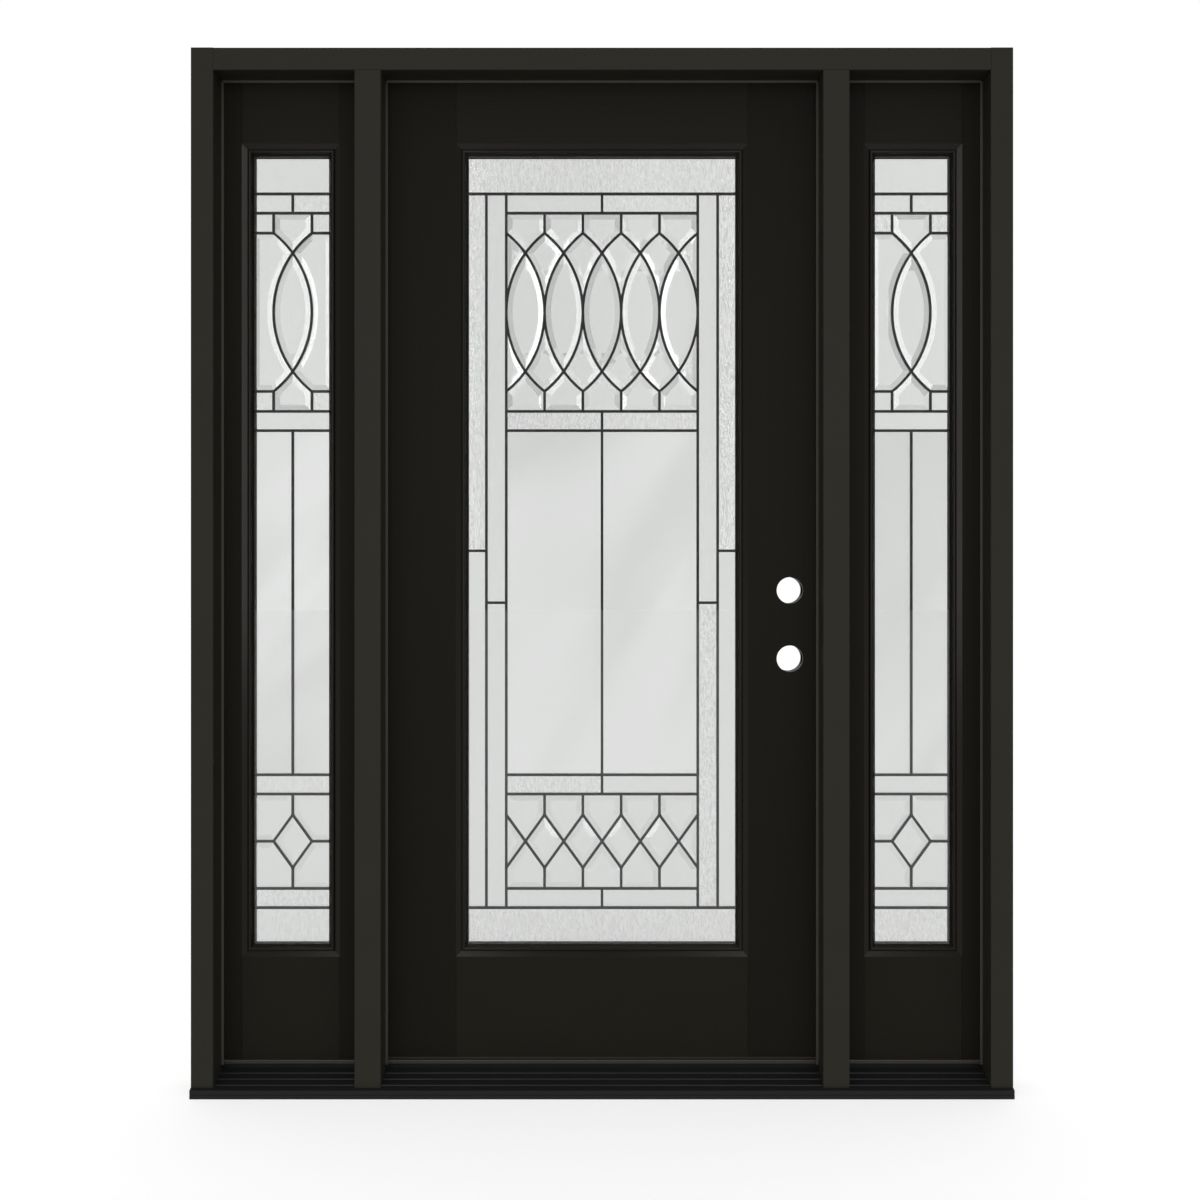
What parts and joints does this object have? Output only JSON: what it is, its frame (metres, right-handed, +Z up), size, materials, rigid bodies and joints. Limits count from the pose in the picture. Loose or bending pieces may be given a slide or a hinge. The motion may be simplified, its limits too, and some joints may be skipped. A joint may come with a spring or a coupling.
{
  "type": "entry door with sidelights",
  "caption": "Prehung inswing entry door between two fixed sidelights, with leaded decorative glass, mullions, ribbed sill and side hinges.",
  "frame": {"origin": "middle of the sill's underside, at floor level", "axes": "+X to the right as seen from outside, +Y from outside to inside, +Z up"},
  "size_m": [1.644, 0.141, 2.0985],
  "materials": {
    "frame_finish": "satin near-black paint on wood",
    "panel_finish": "satin near-black paint",
    "bead_finish": "satin near-black glazing bead",
    "sill_metal": "dark anodised",
    "sill_core": "plain",
    "cap_finish": "satin dark",
    "seal_rubber": "matt foam-filled strip",
    "clear_glass": "clear",
    "art_glass": "textured and bevelled",
    "came_metal": "dark patina",
    "hinge_metal": "dark bronze"
  },
  "bodies": {
    "frame": {"sill_base": "sill_core", "sill_deck": "sill_metal", "left_jamb": "frame_finish", "right_jamb": "frame_finish", "head_jamb": "frame_finish", "left_mullion": "frame_finish", "right_mullion": "frame_finish", "hinge_jamb_leaves": "hinge_metal", "hinge_pins": "hinge_metal", "left_sill_cap": "cap_finish", "left_seal": "seal_rubber", "door_sill_cap": "cap_finish", "door_seal": "seal_rubber", "right_sill_cap": "cap_finish", "right_seal": "seal_rubber", "left_sidelight_stiles": "panel_finish", "left_sidelight_rails": "panel_finish", "right_sidelight_stiles": "panel_finish", "right_sidelight_rails": "panel_finish", "left_sidelight_outer_bead": "bead_finish", "left_sidelight_inner_bead": "bead_finish", "left_sidelight_outer_pane": "clear_glass", "left_sidelight_inner_pane": "clear_glass", "left_sidelight_cames": "came_metal", "left_sidelight_art_glass": "art_glass", "right_sidelight_outer_bead": "bead_finish", "right_sidelight_inner_bead": "bead_finish", "right_sidelight_outer_pane": "clear_glass", "right_sidelight_inner_pane": "clear_glass", "right_sidelight_cames": "came_metal", "right_sidelight_art_glass": "art_glass"},
    "door": {"door_hinge_stile": "panel_finish", "door_lock_stile": "panel_finish", "door_bottom_rail": "panel_finish", "door_top_rail": "panel_finish", "door_sweep": "seal_rubber", "door_outer_bead": "bead_finish", "door_inner_bead": "bead_finish", "door_outer_pane": "clear_glass", "door_inner_pane": "clear_glass", "door_cames": "came_metal", "door_art_glass": "art_glass", "hinge_door_leaves": "hinge_metal"}
  },
  "joints": [
    {"name": "door_hinge", "type": "hinge", "parent": "frame", "child": "door", "pos_m": [-0.45675, 0.071, 1], "axis": [0, 0, 1], "range_deg": [0, 170]}
  ]
}
